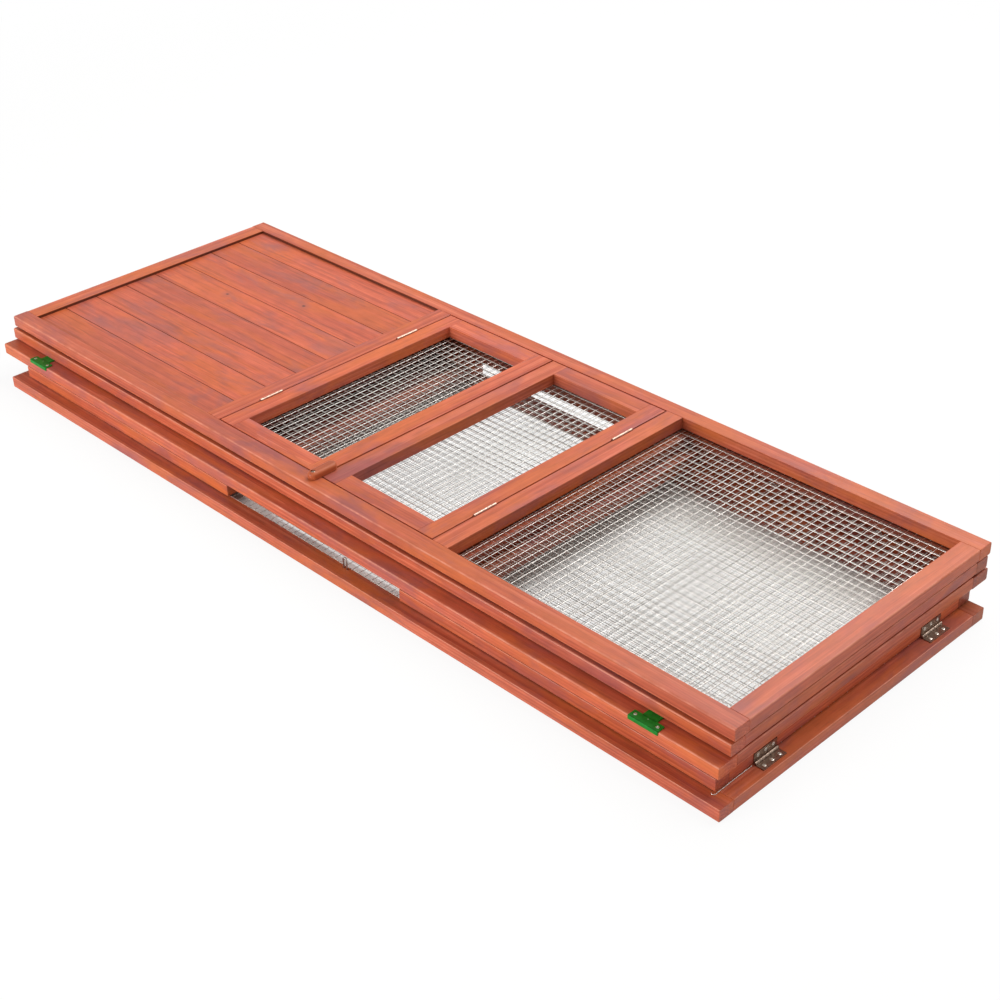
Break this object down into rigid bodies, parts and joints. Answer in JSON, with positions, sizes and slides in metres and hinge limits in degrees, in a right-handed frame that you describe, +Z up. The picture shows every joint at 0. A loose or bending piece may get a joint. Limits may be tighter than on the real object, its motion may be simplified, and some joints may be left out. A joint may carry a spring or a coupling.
{
  "type": "folding rodent run",
  "caption": "Wooden small-animal run with a nest box, folded flat: hinged end walls on a netted base, loose roof and walls stacked on it, a pair of netted doors with a turn button.",
  "frame": {"origin": "centre of the bounding box's bottom face, on the floor under the folded stack", "axes": "+X along the run from the planked nest end towards the netted run end, +Y from the edge with the catch towards the back, +Z up"},
  "size_m": [1.5196, 0.559, 0.1076],
  "materials": {
    "stained_wood": "red-brown stain, satin",
    "plank_wood": "red-brown stain, satin",
    "button_wood": "red-brown stain, satin",
    "wire_net": "galvanised, matt",
    "hinge_steel": "zinc plated, satin",
    "screw_steel": "zinc plated, satin",
    "catch_wire": "zinc plated, bright",
    "green_plastic": "moulded, satin"
  },
  "bodies": {
    "base": {"base_front_rail": "stained_wood", "base_back_rail": "stained_wood", "base_left_rail": "stained_wood", "base_right_rail": "stained_wood", "base_floor_net": "wire_net", "base_hinge_leaves": "hinge_steel", "base_hinge_screws": "screw_steel", "base_catch": "catch_wire"},
    "left_end_wall": {"left_end_front_rail": "stained_wood", "left_end_back_rail": "stained_wood", "left_end_foot_rail": "stained_wood", "left_end_head_rail": "stained_wood", "left_end_planks": "plank_wood", "left_end_hinge_leaves": "hinge_steel"},
    "right_end_wall": {"right_end_front_rail": "stained_wood", "right_end_back_rail": "stained_wood", "right_end_foot_rail": "stained_wood", "right_end_head_rail": "stained_wood", "right_end_net": "wire_net", "right_end_hinge_leaves": "hinge_steel"},
    "roof": {"roof_front_rail": "stained_wood", "roof_back_rail": "stained_wood", "roof_left_rail": "stained_wood", "roof_right_rail": "stained_wood", "roof_nest_divider": "stained_wood", "roof_run_divider": "stained_wood", "roof_planks": "plank_wood", "roof_net": "wire_net", "roof_edge_clips": "green_plastic"},
    "back_wall": {"back_wall_top_rail": "stained_wood", "back_wall_bottom_rail": "stained_wood", "back_wall_left_stile": "stained_wood", "back_wall_right_stile": "stained_wood", "back_wall_nest_divider": "stained_wood", "back_wall_run_divider": "stained_wood", "back_wall_planks": "plank_wood", "back_wall_net": "wire_net"},
    "front_wall": {"front_wall_top_rail": "stained_wood", "front_wall_bottom_rail": "stained_wood", "front_wall_left_stile": "stained_wood", "front_wall_right_stile": "stained_wood", "front_wall_nest_divider": "stained_wood", "front_wall_run_divider": "stained_wood", "front_wall_planks": "plank_wood", "front_wall_net": "wire_net", "front_wall_hinge_leaves": "hinge_steel"},
    "left_door": {"left_door_hinge_stile": "stained_wood", "left_door_meeting_stile": "stained_wood", "left_door_top_rail": "stained_wood", "left_door_bottom_rail": "stained_wood", "left_door_net": "wire_net", "left_door_hinge_leaves": "hinge_steel"},
    "right_door": {"right_door_hinge_stile": "stained_wood", "right_door_meeting_stile": "stained_wood", "right_door_top_rail": "stained_wood", "right_door_bottom_rail": "stained_wood", "right_door_net": "wire_net", "right_door_hinge_leaves": "hinge_steel"},
    "button_screw": {"turn_button_screw": "screw_steel"},
    "turn_button": {"turn_button": "button_wood"}
  },
  "joints": [
    {"name": "roof_lift", "type": "slide", "parent": "base", "child": "roof", "axis": [0, 0, 1], "range_m": [0, 0.9]},
    {"name": "back_wall_lift", "type": "slide", "parent": "roof", "child": "back_wall", "axis": [0, 0, 1], "range_m": [0, 0.3]},
    {"name": "front_wall_lift", "type": "slide", "parent": "back_wall", "child": "front_wall", "axis": [0, 0, 1], "range_m": [0, 0.3]},
    {"name": "left_end_wall_hinge", "type": "hinge", "parent": "base", "child": "left_end_wall", "pos_m": [-0.69675, -0.0064, 0.0205], "axis": [0, -1, 0], "range_deg": [0, 90]},
    {"name": "right_end_wall_hinge", "type": "hinge", "parent": "base", "child": "right_end_wall", "pos_m": [0.74025, -0.0064, 0.0205], "axis": [0, 1, 0], "range_deg": [0, 90]},
    {"name": "left_door_hinge", "type": "hinge", "parent": "front_wall", "child": "left_door", "pos_m": [-0.23725, 0.0205, 0.0977], "axis": [0, -1, 0], "range_deg": [0, 105]},
    {"name": "right_door_hinge", "type": "hinge", "parent": "front_wall", "child": "right_door", "pos_m": [0.21875, 0.0205, 0.0977], "axis": [0, 1, 0], "range_deg": [0, 105]},
    {"name": "button_lift", "type": "slide", "parent": "front_wall", "child": "button_screw", "axis": [0, 0, 1], "range_m": [0, 0.42]},
    {"name": "button_turn", "type": "hinge", "parent": "button_screw", "child": "turn_button", "pos_m": [-0.01125, -0.2185, 0.0976], "axis": [0, 0, 1], "range_deg": [0, 90]}
  ],
  "couplings": [
    {"joint": "left_end_wall_hinge", "follows": "roof_lift", "rad_per_m": 1.7453},
    {"joint": "right_end_wall_hinge", "follows": "roof_lift", "rad_per_m": 1.7453},
    {"joint": "right_door_hinge", "follows": "left_door_hinge", "ratio": 1},
    {"joint": "button_lift", "follows": "left_door_hinge", "m_per_rad": 0.229}
  ]
}
